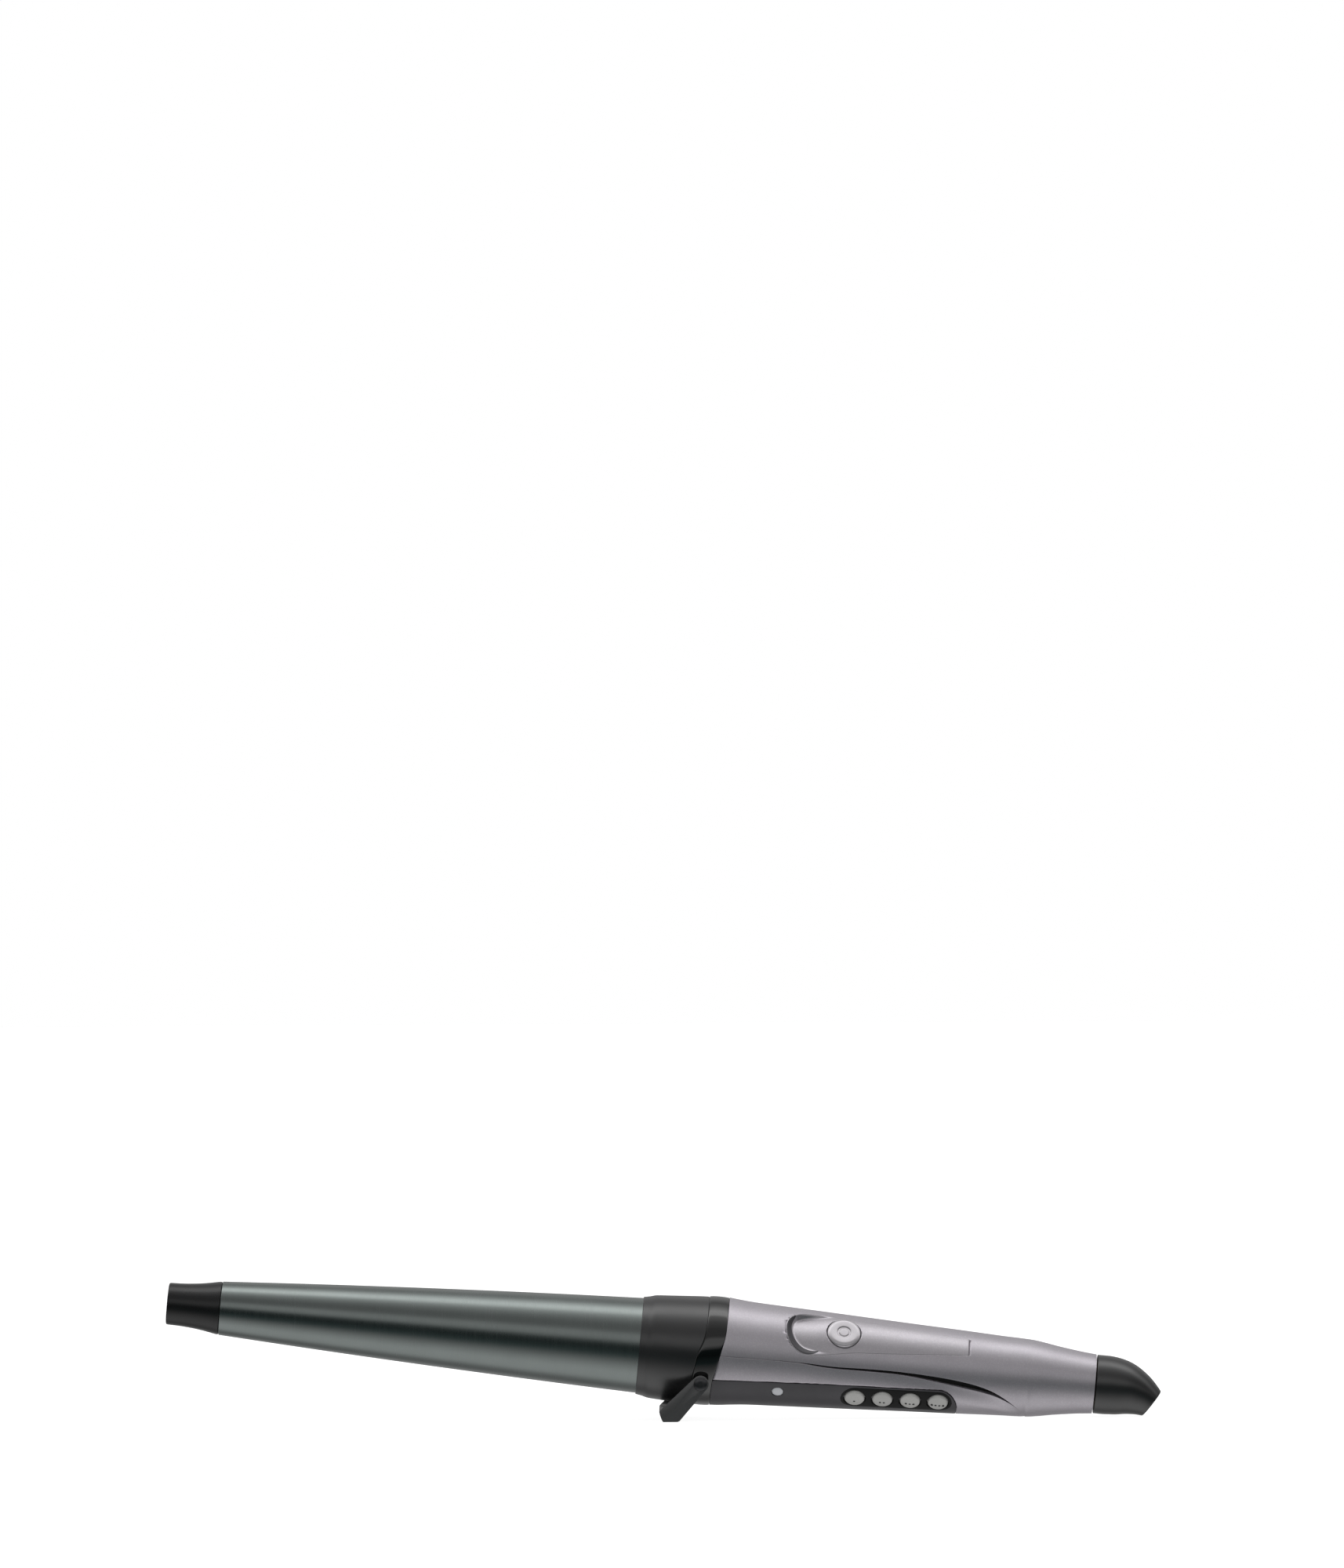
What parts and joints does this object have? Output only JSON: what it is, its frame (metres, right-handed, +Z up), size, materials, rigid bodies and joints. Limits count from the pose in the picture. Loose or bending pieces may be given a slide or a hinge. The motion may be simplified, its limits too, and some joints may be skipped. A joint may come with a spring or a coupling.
{
  "type": "curling wand",
  "caption": "Conical curling wand with cool tip, folding rest, moulded handle, press keys and a swivelling cord outlet.",
  "frame": {"origin": "bottom centre of the wand's bounding box, on the table it rests on", "axes": "+X from the cool tip to the cord outlet, -Y towards the side with the keys, +Z up; the wand lies on its folding rest and the heel of the handle"},
  "size_m": [0.3312, 0.0392, 0.047],
  "materials": {
    "tip_black": "satin heat-resistant moulding",
    "barrel_grey": "smooth ceramic-coated, satin gloss",
    "steel": "plated",
    "heater_aluminium": "extruded",
    "heater_ceramic": "sintered",
    "contact_brass": "plain",
    "film_amber": "polyimide film",
    "wire_white": "glass-sleeved wire",
    "seat_black": "glass-filled moulding",
    "collar_charcoal": "matte",
    "ring_black": "polished",
    "stand_black": "satin gloss",
    "shell_silver": "metallic silver lacquer with a lilac tint",
    "inlay_silver": "metallic silver lacquer",
    "panel_graphite": "smooth graphite",
    "key_pearl": "pearl white",
    "button_silver": "metallic silver",
    "lens_clear": "clear",
    "led_red": "clear red",
    "board_green": "solder mask",
    "part_black": "moulded case",
    "outlet_black": "soft satin"
  },
  "bodies": {
    "wand": {"cool_tip": "tip_black", "tip_screw": "steel", "barrel": "barrel_grey", "heat_spreader_upper": "heater_aluminium", "heat_spreader_lower": "heater_aluminium", "heater_chips": "heater_ceramic", "heater_electrodes": "contact_brass", "heater_wrap": "film_amber", "heater_leads": "wire_white", "thermal_fuse": "steel", "thermistor": "heater_ceramic", "barrel_seat": "seat_black", "collar": "collar_charcoal", "accent_ring": "ring_black", "stand_pins": "steel", "handle_upper_shell": "shell_silver", "handle_lower_shell": "shell_silver", "control_panel": "panel_graphite", "button_inlay": "inlay_silver", "shell_screws": "steel", "indicator_lens": "lens_clear", "indicator_led": "led_red", "key_board": "board_green", "key_switches": "part_black", "power_board": "board_green", "power_switch": "part_black", "main_board": "board_green", "heater_triac": "part_black", "smoothing_capacitor": "heater_aluminium", "control_chip": "part_black", "swivel_bush": "contact_brass", "contact_fingers": "contact_brass"},
    "rest": {"stand": "stand_black"},
    "outlet": {"swivel_outlet": "outlet_black", "slip_rings": "contact_brass"},
    "on_off": {"power_button": "button_silver"},
    "key_1": {"heat_key_1": "key_pearl"},
    "key_2": {"heat_key_2": "key_pearl"},
    "key_3": {"heat_key_3": "key_pearl"},
    "key_4": {"heat_key_4": "key_pearl"}
  },
  "joints": [
    {"name": "rest_fold", "type": "hinge", "parent": "wand", "child": "rest", "pos_m": [0.01345, 0, 0.01268], "axis": [0, -1, 0], "range_deg": [0, 55]},
    {"name": "cord_swivel", "type": "hinge", "parent": "wand", "child": "outlet", "pos_m": [0.14557, 0, 0.01094], "axis": [0.9956, 0, -0.0941], "continuous": true},
    {"name": "on_off_press", "type": "slide", "parent": "wand", "child": "on_off", "axis": [-0.0617, 0.7547, -0.6531], "range_m": [0, 0.001], "stiffness_N_per_m": 500, "springref_m": -0.002},
    {"name": "key_1_press", "type": "slide", "parent": "wand", "child": "key_1", "axis": [0.0688, 0.682, 0.7281], "range_m": [0, 0.0008], "stiffness_N_per_m": 500, "springref_m": -0.002},
    {"name": "key_2_press", "type": "slide", "parent": "wand", "child": "key_2", "axis": [0.0688, 0.682, 0.7281], "range_m": [0, 0.0008], "stiffness_N_per_m": 500, "springref_m": -0.002},
    {"name": "key_3_press", "type": "slide", "parent": "wand", "child": "key_3", "axis": [0.0688, 0.682, 0.7281], "range_m": [0, 0.0008], "stiffness_N_per_m": 500, "springref_m": -0.002},
    {"name": "key_4_press", "type": "slide", "parent": "wand", "child": "key_4", "axis": [0.0688, 0.682, 0.7281], "range_m": [0, 0.0008], "stiffness_N_per_m": 500, "springref_m": -0.002}
  ]
}
